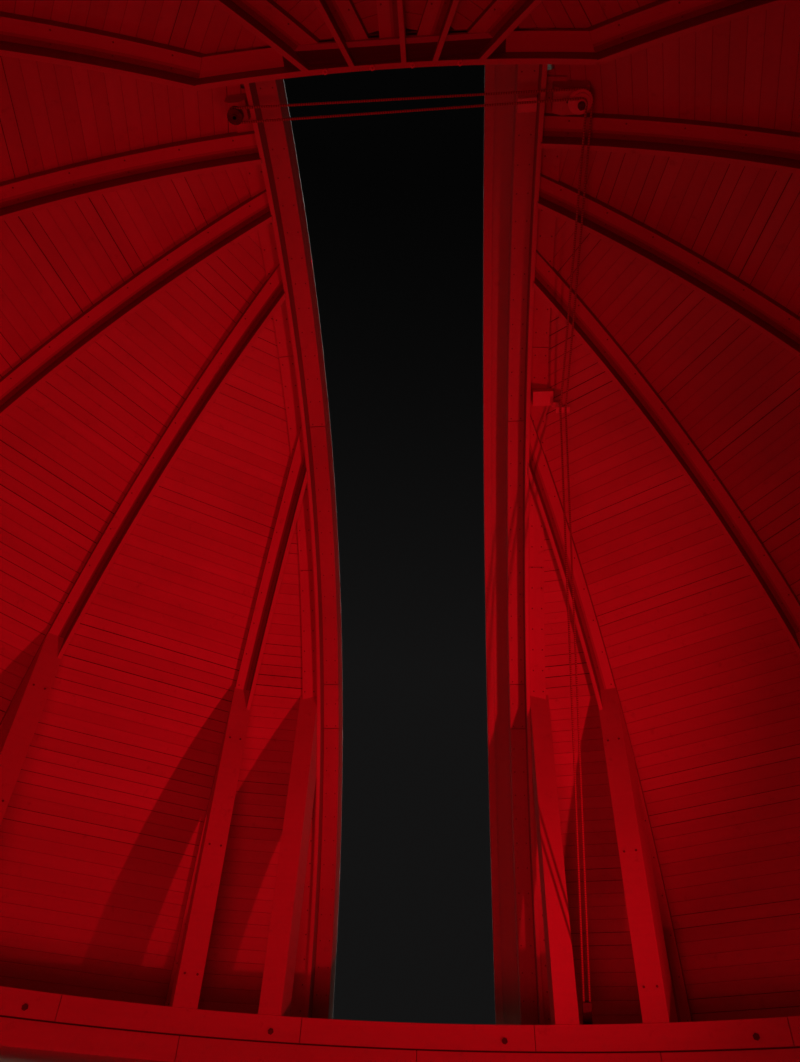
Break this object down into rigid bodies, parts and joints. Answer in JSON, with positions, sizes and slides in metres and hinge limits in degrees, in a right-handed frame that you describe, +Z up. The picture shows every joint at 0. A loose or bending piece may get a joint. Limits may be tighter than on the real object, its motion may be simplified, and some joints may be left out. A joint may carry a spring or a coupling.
{
  "type": "observatory dome",
  "caption": "Round timber observatory: ribbed board-lined dome with an open slit and two sliding shutter leaves, turning on a low board wall with a door.",
  "frame": {"origin": "on the ground at the centre of the building", "axes": "+Z up, +Y towards the open slit with the dome at rest, +X to the right seen from inside facing the slit"},
  "size_m": [7.18, 7.245, 5.6598],
  "materials": {
    "painted_boards": "old cream oil paint",
    "floor_boards": "worn bare boards",
    "door_paint": "painted planks",
    "dark_steel": "worn paint",
    "rope": "laid rope",
    "dome_covering": "painted sheet over boards"
  },
  "bodies": {
    "building": {"floor": "floor_boards", "wall_left": "painted_boards", "wall_front": "painted_boards", "wall_right": "painted_boards", "wall_door_side": "painted_boards", "door_frame": "painted_boards", "door": "door_paint", "wall_plate": "painted_boards", "track_rail": "dark_steel"},
    "dome": {"dome_ring": "painted_boards", "dome_skirt": "dome_covering", "rib_right_1": "painted_boards", "rib_right_2": "painted_boards", "rib_right_3": "painted_boards", "rib_right_4": "painted_boards", "rib_right_5": "painted_boards", "rib_right_6": "painted_boards", "rib_right_7": "painted_boards", "rib_left_1": "painted_boards", "rib_left_2": "painted_boards", "rib_left_3": "painted_boards", "rib_left_4": "painted_boards", "rib_left_5": "painted_boards", "rib_left_6": "painted_boards", "rib_left_7": "painted_boards", "rib_rear": "painted_boards", "arch_right": "painted_boards", "arch_left": "painted_boards", "shell_right_front": "dome_covering", "shell_right_middle": "dome_covering", "shell_right_rear": "dome_covering", "shell_left_front": "dome_covering", "shell_left_middle": "dome_covering", "shell_left_rear": "dome_covering", "header": "painted_boards", "shutter_rail_upper": "dark_steel", "shutter_rail_lower": "dark_steel", "pulley_block_left": "dark_steel", "pulley_block_right": "dark_steel", "rope_guide_box": "painted_boards", "rope_foot_pulley": "dark_steel", "shutter_rope": "rope"},
    "right_leaf": {"leaf_right": "dome_covering"},
    "left_leaf": {"leaf_left": "dome_covering"}
  },
  "joints": [
    {"name": "dome_turn", "type": "hinge", "parent": "building", "child": "dome", "pos_m": [0, 0, 2], "axis": [0, 0, 1], "continuous": true},
    {"name": "right_leaf_slide", "type": "slide", "parent": "dome", "child": "right_leaf", "axis": [-1, 0, 0], "range_m": [-0.139, 0.3905]},
    {"name": "left_leaf_slide", "type": "slide", "parent": "dome", "child": "left_leaf", "axis": [1, 0, 0], "range_m": [0, 0.5295]}
  ]
}
